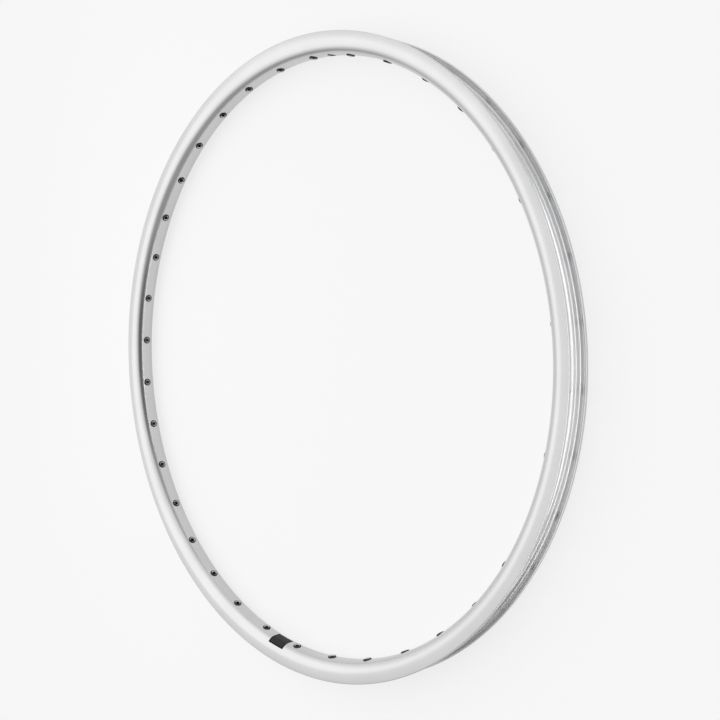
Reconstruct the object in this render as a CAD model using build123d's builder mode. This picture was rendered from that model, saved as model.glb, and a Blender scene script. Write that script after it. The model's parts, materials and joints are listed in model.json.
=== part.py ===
from build123d import *
import os

# A bare double-wall bicycle rim, lying on its side with its axle line along Z.
# All sizes are in millimetres. The origin is the centre of the hoop, half way across its width.
# The valve hole is at +Y.

# Main sizes of the hoop
bead_seat_diameter = 622.0
flange_height = 6.0
rim_width = 27.0
rim_depth = 20.0

# Spoke side of the section
side_wall_height = 6.0
bed_width = 11.4
bed_round = 10.0

# Tyre side of the section: hooked flanges, bead shelves and a well between them
flange_wall = 1.6
hook_overhang = 1.5
hook_height = 1.8
hook_slope = 1.2
shelf_width = 4.8
shelf_drop = 1.0
well_depth = 3.4
well_slope = 0.7

# Walls around the hollow core
bed_wall = 1.8
side_wall = 1.1
shelf_wall = 1.2
bridge_wall = 1.1

# Drilling: every other spoke hole is set off to the other side, with its access hole in line
spoke_count = 36
spoke_hole = 4.6
spoke_offset = 0.6
access_hole = 8.0
valve_hole = 8.5
valve_angle = 90.0

# Radii and half widths of the section
bead_radius = bead_seat_diameter / 2
tip_radius = bead_radius + flange_height
bed_radius = tip_radius - rim_depth
foot_radius = tip_radius - side_wall_height
shoulder_radius = bead_radius - shelf_drop
well_radius = bead_radius - well_depth
half_width = rim_width / 2
half_bed = bed_width / 2
half_seat = half_width - flange_wall
half_mouth = half_seat - hook_overhang
half_shoulder = half_seat - shelf_width
half_well = half_shoulder - well_slope

# The rounded side is an arc, tangent to the side wall at its foot, that meets the bed at its edge
arc_reach = half_width - half_bed
arc_drop = foot_radius - bed_radius
arc_radius = (arc_reach**2 + arc_drop**2) / (2 * arc_reach)
arc_centre = half_width - arc_radius


def half_core(radius):
    """Half the width of the hollow core at a radius, one side wall in from the rounded side."""
    return arc_centre + ((arc_radius - side_wall) ** 2 - (foot_radius - radius) ** 2) ** 0.5


core_bed_radius = bed_radius + bed_wall
core_shelf_radius = bead_radius - shelf_wall
core_shoulder_radius = shoulder_radius - shelf_wall
core_bridge_radius = well_radius - bridge_wall
core_waist_radius = (core_bed_radius + core_shelf_radius) / 2
core_middle_radius = (core_bed_radius + core_bridge_radius) / 2
half_core_shoulder = half_shoulder + bridge_wall
half_core_bridge = half_well + bridge_wall

spoke_step = 360 / spoke_count

with BuildPart() as rim:
    with BuildSketch(Plane.XZ) as section:
        with BuildLine() as outline:
            tyre_side = Polyline(
                (well_radius, 0),
                (well_radius, half_well),
                (shoulder_radius, half_shoulder),
                (bead_radius, half_seat),
                (tip_radius - hook_height - hook_slope, half_seat),
                (tip_radius - hook_height, half_mouth),
                (tip_radius, half_mouth),
                (tip_radius, half_width),
                (foot_radius, half_width),
            )
            rounded_side = TangentArc(tyre_side @ 1, (bed_radius, half_bed), tangent=(-1, 0))
            Line(rounded_side @ 1, (bed_radius, 0))
            mirror(about=Plane.XZ)
        make_face()
        # The bed runs into the rounded sides without a crease
        bed_corners = section.vertices().group_by(Axis.X)[0].sort_by(Axis.Y)
        fillet((bed_corners.first, bed_corners.last), radius=bed_round)
        with BuildLine() as core:
            Polyline(
                (core_bed_radius, 0),
                (core_bed_radius, half_core(core_bed_radius)),
                (core_waist_radius, half_core(core_waist_radius)),
                (core_shelf_radius, half_core(core_shelf_radius)),
                (core_shoulder_radius, half_core_shoulder),
                (core_bridge_radius, half_core_bridge),
                (core_bridge_radius, 0),
            )
            mirror(about=Plane.XZ)
        make_face(mode=Mode.SUBTRACT)
    revolve(axis=Axis.Z)

    # Each spoke hole goes through the bed, and a wider hole in line with it in the bridge lets its nipple in.
    # The drills of one side lie half a turn from those of the other, as the holes do when the rim is turned over.
    for side in (1, -1):
        first_spoke = valve_angle + side * spoke_step / 2
        drill_turn = (90 - side * 90, 90, 0)
        with PolarLocations(bed_radius, spoke_count // 2, start_angle=first_spoke):
            with Locations((0, 0, side * spoke_offset)):
                Cylinder(
                    spoke_hole / 2,
                    2 * (core_middle_radius - bed_radius),
                    rotation=drill_turn,
                    mode=Mode.SUBTRACT,
                )
        with PolarLocations(well_radius, spoke_count // 2, start_angle=first_spoke):
            with Locations((0, 0, side * spoke_offset)):
                Cylinder(
                    access_hole / 2,
                    2 * (well_radius - core_middle_radius),
                    rotation=drill_turn,
                    mode=Mode.SUBTRACT,
                )
    with PolarLocations(core_middle_radius, 1, start_angle=valve_angle):
        Cylinder(valve_hole / 2, 2 * rim_depth, rotation=(0, 90, 0), mode=Mode.SUBTRACT)

rim.part.label = "rim"
os.makedirs("parts", exist_ok=True)
export_step(rim.part, "parts/rim.step")
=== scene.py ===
"""Looks of a bare double-wall bicycle rim: a satin aluminium hoop, its steel eyelets and a label film.

Lengths are in metres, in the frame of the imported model: the axle line is Z and the valve hole is at +Y.
"""

import json
from math import asin, copysign, cos, pi, radians, sin, tan

import bmesh
import bpy
from mathutils import Matrix, Vector


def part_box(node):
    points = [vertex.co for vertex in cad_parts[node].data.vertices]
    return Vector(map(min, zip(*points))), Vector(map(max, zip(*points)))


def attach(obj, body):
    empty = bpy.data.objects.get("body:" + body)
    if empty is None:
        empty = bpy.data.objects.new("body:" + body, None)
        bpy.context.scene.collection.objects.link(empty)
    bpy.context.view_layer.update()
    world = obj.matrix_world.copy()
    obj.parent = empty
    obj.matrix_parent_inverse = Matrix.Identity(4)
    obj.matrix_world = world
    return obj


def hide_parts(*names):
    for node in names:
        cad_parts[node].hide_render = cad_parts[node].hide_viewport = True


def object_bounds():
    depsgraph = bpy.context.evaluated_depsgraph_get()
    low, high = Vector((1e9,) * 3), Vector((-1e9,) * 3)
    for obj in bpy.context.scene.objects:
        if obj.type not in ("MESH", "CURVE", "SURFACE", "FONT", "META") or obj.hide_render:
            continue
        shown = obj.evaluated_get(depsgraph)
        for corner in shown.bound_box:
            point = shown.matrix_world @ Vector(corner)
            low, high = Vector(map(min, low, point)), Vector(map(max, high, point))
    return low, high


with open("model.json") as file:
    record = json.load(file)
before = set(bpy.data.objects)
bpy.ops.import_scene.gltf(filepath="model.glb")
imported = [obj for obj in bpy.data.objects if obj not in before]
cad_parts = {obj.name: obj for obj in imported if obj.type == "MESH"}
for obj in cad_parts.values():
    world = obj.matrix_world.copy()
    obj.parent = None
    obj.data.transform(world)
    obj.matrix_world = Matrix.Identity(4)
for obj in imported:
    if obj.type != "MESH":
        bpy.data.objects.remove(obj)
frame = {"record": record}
cad_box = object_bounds()

MM = 0.001

# Section of the hoop, with the same sizes as the solid
half_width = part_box("rim")[1].z
bead_radius = 311.0 * MM
tip_radius = 317.0 * MM
bed_radius = 297.0 * MM
foot_radius = 311.0 * MM
shoulder_radius = 310.0 * MM
well_radius = 307.6 * MM
half_bed = 5.7 * MM
bed_round = 10.0 * MM
half_seat = 11.9 * MM
half_mouth = 10.4 * MM
half_shoulder = 7.1 * MM
half_well = 6.4 * MM
hook_foot_radius = 314.0 * MM
hook_top_radius = 315.2 * MM
bed_wall = 1.8 * MM
side_wall = 1.1 * MM
shelf_wall = 1.2 * MM
bridge_wall = 1.1 * MM
access_hole_radius = 4.0 * MM

# Rounding of the section's edges
lip_round = 0.7 * MM
hook_round = 0.5 * MM
seat_round = 0.6 * MM
shoulder_round = 0.5 * MM
well_round = 0.6 * MM

# Fineness of the meshes
hoop_segments = 576
hole_segments = 48
round_steps = 5
side_steps = 8
bed_round_steps = 10
weld_reach = 0.001 * MM
sharp_angle = radians(35)

# Eyelets, measured from the hole's axis and from the bed towards the hub
eyelet_flange_radius = 4.2 * MM
eyelet_height = 1.25 * MM
eyelet_wall = 0.16 * MM
eyelet_clearance = 0.01 * MM
eyelet_sink = 0.4 * MM
eyelet_collar_radius = 3.1 * MM
eyelet_collar_height = 0.7 * MM
# Inside this distance from the hole's axis, the rolled edge gets a painted glint
painted_glint_radius = 2.85 * MM

# Label film: where it lies round the hoop, and how far it reaches along the section from the bed's middle
label_start = radians(-91.55)
label_end = radians(-87.25)
label_far_reach = 4.0 * MM
label_near_reach = 12.4 * MM
label_thickness = 0.12 * MM
label_gap = 0.01 * MM
label_corner = 0.8 * MM
label_border = 1.4 * MM
label_border_cells = 4
label_field_cells = 24

mounts = frame["record"]["mounts"]
spoke_holes = [mount for mount in mounts if mount["name"].startswith("spoke_hole")]
valve_hole = next(mount for mount in mounts if mount["name"] == "valve_hole")

# The rounded side is an arc, tangent to the side wall at its foot, that meets the bed at its edge.
# A smaller arc, tangent to the bed and to the side, rounds that edge.
arc_reach = half_width - half_bed
arc_drop = foot_radius - bed_radius
arc_radius = (arc_reach**2 + arc_drop**2) / (2 * arc_reach)
arc_centre = half_width - arc_radius
blend_angle = asin((arc_drop - bed_round) / (arc_radius - bed_round))
half_flat = arc_centre + (arc_radius - bed_round) * cos(blend_angle)
round_length = bed_round * (pi / 2 - blend_angle)
side_length = arc_radius * blend_angle


def spoke_side_point(reach):
    """Point (radius, z) of the spoke side at a distance along the section from the bed's middle."""
    past_flat = abs(reach) - half_flat
    if past_flat <= 0:
        return bed_radius, reach
    if past_flat <= round_length:
        turn = pi / 2 - past_flat / bed_round
        radius = bed_radius + bed_round - bed_round * sin(turn)
        z = half_flat + bed_round * cos(turn)
    else:
        turn = blend_angle - (past_flat - round_length) / arc_radius
        radius = foot_radius - arc_radius * sin(turn)
        z = arc_centre + arc_radius * cos(turn)
    return radius, copysign(z, reach)


def rounded(corners):
    """Path through (x, y, radius) corners, each turned with an arc of its radius."""
    points = []
    for index, (x, y, radius) in enumerate(corners):
        if radius == 0:
            points.append((x, y))
            continue
        corner = Vector((x, y))
        before = (Vector(corners[index - 1][:2]) - corner).normalized()
        after = (Vector(corners[(index + 1) % len(corners)][:2]) - corner).normalized()
        half = before.angle(after) / 2
        reach = radius / tan(half)
        middle = corner + (before + after).normalized() * (radius / sin(half))
        start = corner + before * reach - middle
        turn = start.angle_signed(corner + after * reach - middle)
        for step in range(round_steps + 1):
            spoke = start.copy()
            spoke.rotate(Matrix.Rotation(-turn * step / round_steps, 2))
            points.append(tuple(middle + spoke))
    return points


def mirrored(half):
    """Closed outline from the half of it that starts and ends on the middle plane."""
    return half + [(radius, -z) for radius, z in reversed(half[1:-1])]


def rim_outline():
    """Closed outline of the section as (radius, z) points."""
    edge = half_flat + round_length
    reaches = [edge + side_length * (side_steps - step) / side_steps for step in range(side_steps)]
    reaches += [edge - round_length * step / bed_round_steps for step in range(bed_round_steps + 1)]
    half = rounded(
        [
            (well_radius, 0, 0),
            (well_radius, half_well, well_round),
            (shoulder_radius, half_shoulder, shoulder_round),
            (bead_radius, half_seat, seat_round),
            (hook_foot_radius, half_seat, hook_round),
            (hook_top_radius, half_mouth, hook_round),
            (tip_radius, half_mouth, lip_round),
            (tip_radius, half_width, lip_round),
            *[(*spoke_side_point(reach), 0) for reach in reaches],
            (bed_radius, 0, 0),
        ]
    )
    return mirrored(half)


def core_outline():
    """Closed outline of the hollow core, which runs the other way round than the section."""

    def half_core(radius):
        return arc_centre + ((arc_radius - side_wall) ** 2 - (foot_radius - radius) ** 2) ** 0.5

    bed = bed_radius + bed_wall
    shelf = bead_radius - shelf_wall
    waist = (bed + shelf) / 2
    half = [
        (bed, 0),
        (bed, half_core(bed)),
        (waist, half_core(waist)),
        (shelf, half_core(shelf)),
        (shoulder_radius - shelf_wall, half_shoulder + bridge_wall),
        (well_radius - bridge_wall, half_well + bridge_wall),
        (well_radius - bridge_wall, 0),
    ]
    return mirrored(half)


def new_object(name, vertices, faces):
    mesh = bpy.data.meshes.new(name)
    mesh.from_pydata(vertices, [], faces)
    mesh.validate()
    item = bpy.data.objects.new(name, mesh)
    bpy.context.scene.collection.objects.link(item)
    return item


def turned(outline, segments, first):
    """Vertices and faces of a closed outline of (radius, z) points turned about Z, numbered from first."""
    count = len(outline)
    vertices = []
    for step in range(segments):
        angle = 2 * pi * step / segments
        vertices += [(radius * cos(angle), radius * sin(angle), z) for radius, z in outline]
    faces = []
    for step in range(segments):
        here = first + step * count
        there = first + (step + 1) % segments * count
        for index in range(count):
            after = (index + 1) % count
            faces.append((here + index, here + after, there + after, there + index))
    return vertices, faces


def shade(item):
    """Smooth shading, with a crease where two faces meet at more than the sharp angle."""
    item.data.shade_smooth()
    item.data.set_sharp_from_angle(angle=sharp_angle)


def along(hole):
    """Placement on the axle line, level with a hole, whose Z axis runs out through the hole."""
    turn = Vector(hole["axis"]).to_track_quat("Z", "Y").to_matrix().to_4x4()
    return Matrix.Translation((0, 0, hole["pos_m"][2])) @ turn


def drills():
    """Cutters for the spoke holes, the access holes in line with them and the valve hole, in one object."""
    bed_inside = bed_radius + bed_wall
    bridge_inside = well_radius - bridge_wall
    below = bed_radius - bed_wall
    above = well_radius + bed_wall
    # The drills of the two walls end short of each other in the hollow between
    overrun = (bridge_inside - bed_inside) / 3
    cuts = [(valve_hole, valve_hole["dims"]["r_mm"] * MM, below, above)]
    for hole in spoke_holes:
        cuts.append((hole, hole["dims"]["r_mm"] * MM, below, bed_inside + overrun))
        cuts.append((hole, access_hole_radius, bridge_inside - overrun, above))
    vertices = []
    faces = []
    for hole, radius, start, end in cuts:
        first = len(vertices)
        last = first + hole_segments
        place = along(hole)
        for height in (start, end):
            for step in range(hole_segments):
                angle = 2 * pi * step / hole_segments
                vertices.append(place @ Vector((radius * cos(angle), radius * sin(angle), height)))
        ring = range(hole_segments)
        faces.append([first + step for step in reversed(ring)])
        faces.append([last + step for step in ring])
        for step in ring:
            after = (step + 1) % hole_segments
            faces.append((first + step, first + after, last + after, last + step))
    return new_object("drills", vertices, faces)


def make_rim():
    """The hoop with its hollow core, turned and then drilled."""
    vertices, faces = turned(rim_outline(), hoop_segments, 0)
    core_vertices, core_faces = turned(core_outline(), hoop_segments, len(vertices))
    rim = new_object("rim_hoop", vertices + core_vertices, faces + core_faces)
    cutter = drills()
    cut = rim.modifiers.new("drilling", "BOOLEAN")
    cut.operation = "DIFFERENCE"
    cut.solver = "EXACT"
    cut.object = cutter
    depsgraph = bpy.context.evaluated_depsgraph_get()
    drilled = bpy.data.meshes.new_from_object(rim.evaluated_get(depsgraph))
    rim.modifiers.clear()
    rim.data = drilled
    bpy.data.objects.remove(cutter)
    # Where a drill's corner falls on a corner of the hoop, the two become one
    welded = bmesh.new()
    welded.from_mesh(drilled)
    bmesh.ops.remove_doubles(welded, verts=welded.verts, dist=weld_reach)
    welded.to_mesh(drilled)
    welded.free()
    shade(rim)
    return rim


def eyelet_outline(hole_radius):
    """Closed outline of an eyelet as (distance from the hole's axis, height over the bed) points."""
    tube = hole_radius - eyelet_clearance
    bore = tube - eyelet_wall
    crown = (bore + eyelet_flange_radius) / 2
    crown_round = eyelet_height / 2
    shoulder = eyelet_height / 2
    shoulder_bend = eyelet_height / 4
    inside = -bed_wall - eyelet_clearance
    return rounded(
        [
            (bore, inside - eyelet_collar_height, 0),
            (eyelet_collar_radius, inside - eyelet_collar_height, 0),
            (eyelet_collar_radius, inside, 0),
            (tube, inside, 0),
            (tube, -eyelet_sink, 0),
            (eyelet_flange_radius, -eyelet_sink, 0),
            (eyelet_flange_radius, shoulder, shoulder_bend),
            (crown, eyelet_height, crown_round),
            (bore, shoulder, shoulder_bend),
        ]
    )


def make_eyelets():
    """Eyelets in all the spoke holes, with the throat where their edge is rolled set apart for a painted
    glint.
    """
    vertices = []
    faces = []
    painted_glint_faces = []
    for hole in spoke_holes:
        outline = eyelet_outline(hole["dims"]["r_mm"] * MM)
        count = len(outline)
        # Faces of the rolled throat, which carry the painted glint
        in_painted_glint = [x < painted_glint_radius and height > 0 for x, height in outline]
        first = len(vertices)
        ring, ring_faces = turned([(x, -height) for x, height in outline], hole_segments, first)
        place = along(hole) @ Matrix.Translation((0, 0, bed_radius))
        vertices += [place @ Vector(point) for point in ring]
        for index, face in enumerate(ring_faces):
            if in_painted_glint[index % count] and in_painted_glint[(index + 1) % count]:
                painted_glint_faces.append(len(faces))
            faces.append(face)
    eyelets = new_object("eyelets", vertices, faces)
    # These faces take the second material: the pale steel of the painted glint
    for index in painted_glint_faces:
        eyelets.data.polygons[index].material_index = 1
    shade(eyelets)
    return eyelets


def label_stops(length):
    """Places across the film from 0 to its length, even in its field and in each border."""
    border = [label_border * cell / label_border_cells for cell in range(label_border_cells)]
    inner = length - 2 * label_border
    field = [label_border + inner * cell / label_field_cells for cell in range(label_field_cells + 1)]
    return [*border, *field, *[length - place for place in reversed(border)]]


def make_label():
    """A film on the bed and over its near edge, with a plain field inside a border."""
    length = label_far_reach + label_near_reach
    breadth = (label_end - label_start) * bed_radius
    reaches = label_stops(length)
    places = label_stops(breadth)
    path = [Vector(spoke_side_point(reach - label_far_reach)) for reach in reaches]
    # There are as many cells along the section as round the hoop
    count = len(places)
    cells = count - 1
    vertices = []
    for height in (label_gap, label_gap + label_thickness):
        for row, point in enumerate(path):
            ahead = path[min(row + 1, cells)] - path[max(row - 1, 0)]
            lifted = point + Vector((-ahead.y, ahead.x)).normalized() * height
            edge = min(reaches[row], length - reaches[row], label_corner)
            inset = label_corner - (label_corner**2 - (label_corner - edge) ** 2) ** 0.5
            for place in places:
                across = inset + place * (1 - 2 * inset / breadth)
                angle = label_start + across / bed_radius
                vertices.append((lifted.x * cos(angle), lifted.x * sin(angle), lifted.y))
    sheet = count * count
    inside = range(label_border_cells, cells - label_border_cells)
    faces = []
    field = []
    for row in range(cells):
        for column in range(cells):
            first = row * count + column
            quad = (first, first + 1, first + 1 + count, first + count)
            faces.append(quad)
            if row in inside and column in inside:
                field.append(len(faces))
            faces.append([sheet + index for index in reversed(quad)])
    # The film's edge, once round the sheet
    loop = list(range(count))
    loop += [row * count + cells for row in range(1, count)]
    loop += [sheet - 2 - column for column in range(cells)]
    loop += [row * count for row in range(cells - 1, 0, -1)]
    for here, there in zip(loop, loop[1:] + loop[:1]):
        faces.append((there, here, sheet + here, sheet + there))
    label = new_object("label_film", vertices, faces)
    for index in field:
        label.data.polygons[index].material_index = 1
    shade(label)
    return label


# Aluminium: its tones and roughness, and the noise of its blasted grain, its drawn lines and its broad clouds
satin_dark = (0.57, 0.57, 0.575, 1.0)
satin_pale = (0.63, 0.63, 0.635, 1.0)
satin_roughness = (0.24, 0.32)
grain_scale = 2600.0
grain_detail = 2.0
grain_depth = 0.01 * MM
grain_strength = 0.5
line_scale = 1500.0
line_detail = 2.0
line_stretch = (0.01, 0.01, 1.0)
cloud_scale = 28.0
cloud_detail = 3.0

# Tyre channel: its paler tone, a painted highlight, its added roughness, and how far outside well and seats
# they begin and are full
channel_painted_highlight = (0.9, 0.9, 0.905, 1.0)
channel_roughness = 0.06
well_fade = (0.6 * MM, 0.1 * MM)
seat_fade = (0.8 * MM, 0.2 * MM)

# Mottle of steel and film: scale and detail of the noise, range of roughness, depth and strength of relief
steel_mottle = (900.0, 3.0, (0.42, 0.26), 0.02 * MM, 0.4)
film_mottle = (1800.0, 2.0, (0.34, 0.46), 0.01 * MM, 0.3)
film_specular = 0.06

# Darkest and palest grey of each steel and film. The two steels are one plated steel painted twice: darkened
# far below bare steel as painted shade on the flanges, and paled as a painted glint in the rolled throats
painted_shade_steel_greys = (0.02, 0.07)
painted_glint_steel_greys = (0.5, 0.7)
black_film_greys = (0.004, 0.007)
grey_film_greys = (0.03, 0.05)

# Sockets of a Mix node that carry its share and its colours
mix_share = 0
mix_first = 6
mix_second = 7
mix_result = 2


def new_material(name):
    material = bpy.data.materials.new(name)
    material.use_nodes = True
    nodes = material.node_tree.nodes
    return material, nodes, material.node_tree.links, nodes["Principled BSDF"]


def ranged(nodes, links, source, low, high):
    """A value from 0 to 1 brought to a range."""
    scaled = nodes.new("ShaderNodeMapRange")
    scaled.inputs["To Min"].default_value = low
    scaled.inputs["To Max"].default_value = high
    links.new(source, scaled.inputs["Value"])
    return scaled.outputs["Result"]


def stepped(nodes, links, source, low, high, at_low=0.0, at_high=1.0):
    """A smooth step between two values, one where the source is at low and one where it is at high."""
    step = nodes.new("ShaderNodeMapRange")
    step.interpolation_type = "SMOOTHSTEP"
    step.inputs["From Min"].default_value = low
    step.inputs["From Max"].default_value = high
    step.inputs["To Min"].default_value = at_low
    step.inputs["To Max"].default_value = at_high
    links.new(source, step.inputs["Value"])
    return step.outputs["Result"]


def joined(nodes, links, operation, first, second):
    node = nodes.new("ShaderNodeMath")
    node.operation = operation
    links.new(first, node.inputs[0])
    links.new(second, node.inputs[1])
    return node.outputs[0]


def noise(nodes, links, vector, scale, detail, fourth=None):
    """Noise over a vector and, where there is one, a fourth coordinate."""
    texture = nodes.new("ShaderNodeTexNoise")
    texture.inputs["Scale"].default_value = scale
    texture.inputs["Detail"].default_value = detail
    links.new(vector, texture.inputs["Vector"])
    if fourth is not None:
        texture.noise_dimensions = "4D"
        links.new(fourth, texture.inputs["W"])
    return texture.outputs["Fac"]


def toned(nodes, links, share, dark, pale):
    """A colour between a dark and a pale one, by a share from 0 to 1."""
    tone = nodes.new("ShaderNodeMix")
    tone.data_type = "RGBA"
    tone.inputs[mix_first].default_value = dark
    tone.inputs[mix_second].default_value = pale
    links.new(share, tone.inputs[mix_share])
    return tone.outputs[mix_result]


def bump(nodes, links, shader, height, distance, strength):
    node = nodes.new("ShaderNodeBump")
    node.inputs["Distance"].default_value = distance
    node.inputs["Strength"].default_value = strength
    links.new(height, node.inputs["Height"])
    links.new(node.outputs["Normal"], shader.inputs["Normal"])


def channel_share(nodes, links, radius, off_middle):
    """1 in the tyre channel and 0 elsewhere, by the radius and the distance from the hoop's middle plane."""
    over_well = stepped(nodes, links, radius, *[well_radius - reach for reach in well_fade])
    under_wall = stepped(nodes, links, radius, *[bead_radius + reach for reach in seat_fade])
    between = stepped(nodes, links, off_middle, *[half_seat + reach for reach in seat_fade])
    in_reach = joined(nodes, links, "MULTIPLY", over_well, under_wall)
    return joined(nodes, links, "MULTIPLY", in_reach, between)


def satin_aluminium():
    """Anodised aluminium with a fine grain over faint drawn lines, rougher in the tyre channel and paler
    there with a painted highlight.
    """
    material, nodes, links, shader = new_material("satin_aluminium")
    shader.inputs["Metallic"].default_value = 1.0
    place = nodes.new("ShaderNodeTexCoord").outputs["Object"]
    split = nodes.new("ShaderNodeSeparateXYZ")
    links.new(place, split.inputs[0])
    flat = nodes.new("ShaderNodeCombineXYZ")
    links.new(split.outputs["X"], flat.inputs["X"])
    links.new(split.outputs["Y"], flat.inputs["Y"])
    length = nodes.new("ShaderNodeVectorMath")
    length.operation = "LENGTH"
    links.new(flat.outputs[0], length.inputs[0])
    radius = length.outputs["Value"]
    off_middle = nodes.new("ShaderNodeMath")
    off_middle.operation = "ABSOLUTE"
    links.new(split.outputs["Z"], off_middle.inputs[0])
    channel = channel_share(nodes, links, radius, off_middle.outputs[0])
    stretched = nodes.new("ShaderNodeVectorMath")
    stretched.operation = "MULTIPLY"
    stretched.inputs[1].default_value = line_stretch
    links.new(place, stretched.inputs[0])
    grain = noise(nodes, links, place, grain_scale, grain_detail)
    cloud = noise(nodes, links, place, cloud_scale, cloud_detail)
    lines = noise(nodes, links, stretched.outputs[0], line_scale, line_detail, radius)
    # The tyre channel's paler tone is a painted highlight, mixed over the clouded satin by the channel's
    # share
    tone_and_painted_highlight = nodes.new("ShaderNodeMix")
    tone_and_painted_highlight.data_type = "RGBA"
    tone_and_painted_highlight.inputs[mix_second].default_value = channel_painted_highlight
    links.new(channel, tone_and_painted_highlight.inputs[mix_share])
    links.new(toned(nodes, links, cloud, satin_dark, satin_pale), tone_and_painted_highlight.inputs[mix_first])
    links.new(tone_and_painted_highlight.outputs[mix_result], shader.inputs["Base Color"])
    satin = ranged(nodes, links, lines, *satin_roughness)
    rough = ranged(nodes, links, channel, 0.0, channel_roughness)
    links.new(joined(nodes, links, "ADD", satin, rough), shader.inputs["Roughness"])
    bump(nodes, links, shader, grain, grain_depth, grain_strength)
    return material


def mottled(name, mottle, greys):
    """A material and its shader, where one noise sets the grey, the roughness and the relief."""
    scale, detail, roughness, depth, strength = mottle
    dark, pale = [(grey, grey, grey, 1.0) for grey in greys]
    material, nodes, links, shader = new_material(name)
    place = nodes.new("ShaderNodeTexCoord").outputs["Object"]
    patches = noise(nodes, links, place, scale, detail)
    links.new(toned(nodes, links, patches, dark, pale), shader.inputs["Base Color"])
    links.new(ranged(nodes, links, patches, *roughness), shader.inputs["Roughness"])
    bump(nodes, links, shader, patches, depth, strength)
    return material, shader


def plated_steel(name, greys):
    """Plated steel of the eyelets, duller in its dark patches."""
    material, shader = mottled(name, steel_mottle, greys)
    shader.inputs["Metallic"].default_value = 1.0
    return material


def matt_film(name, greys):
    """Matt plastic film with a faint grain."""
    material, shader = mottled(name, film_mottle, greys)
    shader.inputs["Specular IOR Level"].default_value = film_specular
    return material


# Stage: a pale floor in a soft white room, bright on one side and dim on the other
floor_reach = 6.0
floor_glow = 0.72
floor_tone = 0.92
room_level = 0.44
white = (1.0, 1.0, 1.0, 1.0)

# Sides of the room: azimuth and elevation of the middle, how far it is full and where it ends, in degrees
bright_side = (145, 48, 50, 72)
bright_level = 1.11
dim_side = (5, 28, 18, 45)
dim_share = 0.3

# Soft boxes: azimuth and elevation in degrees, distance from the hoop's middle, size and level
over_box = (176, 48.0, 0.61, (0.79, 0.42), 0.38)
low_box = (0, 8.3, 0.40, (0.9, 0.085), 2.1)


def pointing(azimuth, elevation):
    """Direction at an azimuth and an elevation in degrees."""
    flat = cos(radians(elevation))
    return Vector((flat * cos(radians(azimuth)), flat * sin(radians(azimuth)), sin(radians(elevation))))


def seen_directly(nodes, links):
    """1 for what the camera sees, in metal and through glass too, and 0 for light that falls on things."""
    path = nodes.new("ShaderNodeLightPath")
    seen = path.outputs["Is Camera Ray"]
    for name in ("Is Glossy Ray", "Is Transmission Ray"):
        seen = joined(nodes, links, "MAXIMUM", seen, path.outputs[name])
    return seen


def make_floor():
    """A floor under the hoop: matt to the light that falls on it, and partly glowing where it is seen."""
    level = cad_box[0][2]
    corners = [(-1, -1), (1, -1), (1, 1), (-1, 1)]
    vertices = [(x * floor_reach, y * floor_reach, level) for x, y in corners]
    floor = new_object("floor", vertices, [(0, 1, 2, 3)])
    material = bpy.data.materials.new("pale_floor")
    material.use_nodes = True
    nodes = material.node_tree.nodes
    links = material.node_tree.links
    nodes.clear()
    matt = nodes.new("ShaderNodeBsdfDiffuse")
    matt.inputs["Color"].default_value = (floor_tone, floor_tone, floor_tone, 1.0)
    glow = nodes.new("ShaderNodeEmission")
    share = nodes.new("ShaderNodeMath")
    share.operation = "MULTIPLY"
    share.inputs[1].default_value = floor_glow
    links.new(seen_directly(nodes, links), share.inputs[0])
    both = nodes.new("ShaderNodeMixShader")
    links.new(share.outputs[0], both.inputs[0])
    links.new(matt.outputs[0], both.inputs[1])
    links.new(glow.outputs[0], both.inputs[2])
    links.new(both.outputs[0], nodes.new("ShaderNodeOutputMaterial").inputs["Surface"])
    floor.data.materials.append(material)


def towards(nodes, links, direction, side, inside, outside):
    """A level that passes from inside to outside as a direction turns away from a side of the room."""
    azimuth, elevation, full, end = side
    facing = nodes.new("ShaderNodeVectorMath")
    facing.operation = "DOT_PRODUCT"
    facing.inputs[1].default_value = pointing(azimuth, elevation)
    links.new(direction, facing.inputs[0])
    nearness = facing.outputs["Value"]
    return stepped(nodes, links, nearness, cos(radians(end)), cos(radians(full)), outside, inside)


def make_room():
    """A room with a bright and a dim side that lights the hoop, and plain white where the camera sees it."""
    world = bpy.data.worlds.new("room")
    bpy.context.scene.world = world
    world.use_nodes = True
    nodes = world.node_tree.nodes
    links = world.node_tree.links
    nodes.clear()
    direction = nodes.new("ShaderNodeTexCoord").outputs["Generated"]
    bright = towards(nodes, links, direction, bright_side, bright_level, room_level)
    dim = towards(nodes, links, direction, dim_side, dim_share, 1.0)
    walls = nodes.new("ShaderNodeBackground")
    walls.inputs["Color"].default_value = white
    links.new(joined(nodes, links, "MULTIPLY", bright, dim), walls.inputs["Strength"])
    backdrop = nodes.new("ShaderNodeBackground")
    backdrop.inputs["Color"].default_value = white
    both = nodes.new("ShaderNodeMixShader")
    links.new(nodes.new("ShaderNodeLightPath").outputs["Is Camera Ray"], both.inputs[0])
    links.new(walls.outputs[0], both.inputs[1])
    links.new(backdrop.outputs[0], both.inputs[2])
    links.new(both.outputs[0], nodes.new("ShaderNodeOutputWorld").inputs["Surface"])


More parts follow.
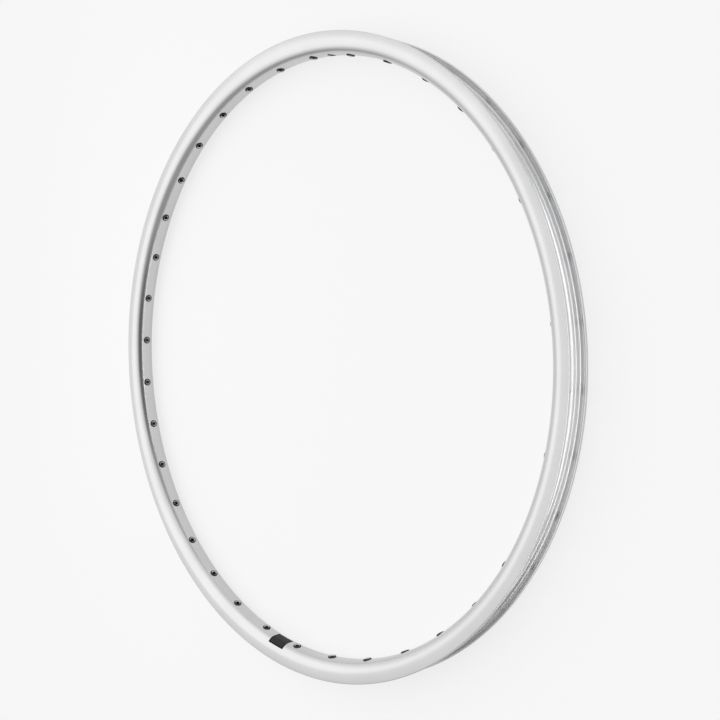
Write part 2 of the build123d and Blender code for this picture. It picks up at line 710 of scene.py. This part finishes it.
def make_soft_box(name, box):
    """A soft box that faces the hoop's middle, hidden from the camera."""
    azimuth, elevation, distance, size, level = box
    data = bpy.data.lights.new(name, "AREA")
    data.shape = "RECTANGLE"
    data.size, data.size_y = size
    # A lamp of this energy is as bright as its level, whatever its size
    data.energy = level * pi * size[0] * size[1]
    lamp = bpy.data.objects.new(name, data)
    out = pointing(azimuth, elevation)
    lamp.location = out * distance
    lamp.rotation_euler = out.to_track_quat("Z", "Y").to_euler()
    lamp.visible_camera = False
    bpy.context.scene.collection.objects.link(lamp)
    return lamp


# Camera: fitted to the holes and outlines, and turned so that the valve is at the top of the picture.
# Its angles are in degrees, its lens and sensor in millimetres.
camera_target = Vector((0.0771, 0.0127, 0.0))
camera_azimuth = 11.62
camera_elevation = 44.53
camera_distance = 0.8853
camera_roll = 92.80
camera_lens = 46.71
camera_sensor = 36.0
camera_near = 0.01


def make_camera():
    data = bpy.data.cameras.new("camera")
    data.sensor_width = camera_sensor
    data.lens = camera_lens
    data.clip_start = camera_near
    camera = bpy.data.objects.new("camera", data)
    bpy.context.scene.collection.objects.link(camera)
    out = pointing(camera_azimuth, camera_elevation)
    place = Matrix.Translation(camera_target + out * camera_distance)
    level = out.to_track_quat("Z", "Y").to_matrix().to_4x4()
    roll = Matrix.Rotation(-radians(camera_roll), 4, "Z")
    camera.matrix_world = place @ level @ roll
    bpy.context.scene.camera = camera


rim = make_rim()
rim.data.materials.append(satin_aluminium())
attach(rim, "root")
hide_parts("rim")

eyelets = make_eyelets()
# The eyelets' steel is painted: painted shade, far darker than bare steel, on the flanges, and a painted
# glint on the throats
eyelets.data.materials.append(plated_steel("painted_shade_steel", painted_shade_steel_greys))
eyelets.data.materials.append(plated_steel("painted_glint_steel", painted_glint_steel_greys))
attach(eyelets, "root")

label = make_label()
label.data.materials.append(matt_film("black_film", black_film_greys))
label.data.materials.append(matt_film("grey_film", grey_film_greys))
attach(label, "root")

make_floor()
make_room()
make_soft_box("over_box", over_box)
# The low box shows in the metal alone, and leaves no bright strip on the floor
low_lamp = make_soft_box("low_box", low_box)
low_lamp.visible_diffuse = False
make_camera()
bpy.context.scene.view_settings.view_transform = "Standard"
